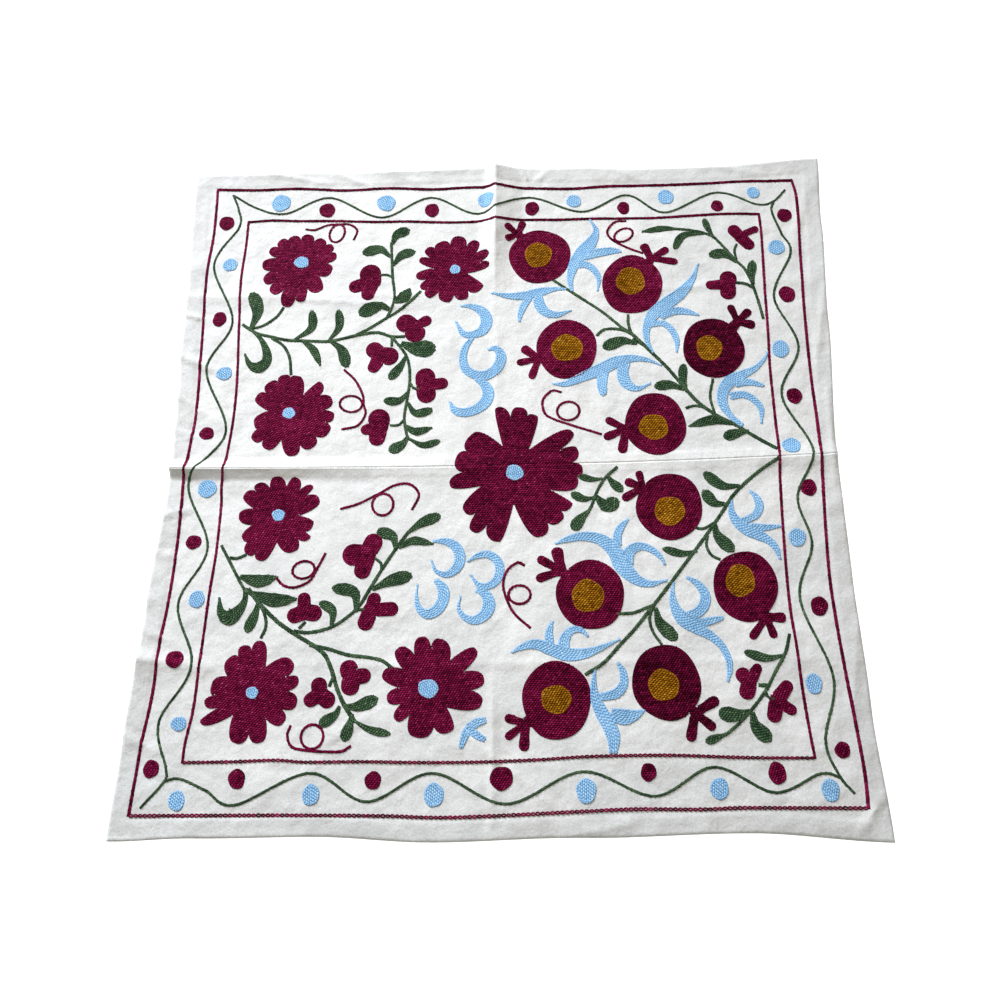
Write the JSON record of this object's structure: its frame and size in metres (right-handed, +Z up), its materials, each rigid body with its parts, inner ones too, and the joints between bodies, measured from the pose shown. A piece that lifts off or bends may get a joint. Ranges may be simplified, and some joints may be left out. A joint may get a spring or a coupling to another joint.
{
  "type": "embroidered cotton cloth",
  "caption": "Square cotton cloth of two joined panels, embroidered all over with flowers, fruit and a vine border, lying flat with storage creases.",
  "frame": {"origin": "middle of the footprint, on the surface that the cloth lies on", "axes": "+Z up out of the embroidered face; +Y from the lower panel to the upper panel, square to the seam; +X along the seam, to the right as the cloth is seen with the upper panel at the top"},
  "size_m": [0.904, 0.912, 0.0121],
  "materials": {
    "cotton": "undyed plain-weave cotton, matt",
    "burgundy_thread": "burgundy embroidery thread, soft sheen",
    "green_thread": "green embroidery thread, soft sheen",
    "blue_thread": "sky blue embroidery thread, soft sheen",
    "ochre_thread": "ochre embroidery thread, soft sheen"
  },
  "bodies": {
    "root": {"upper_panel": "cotton", "lower_panel": "cotton"}
  },
  "joints": []
}
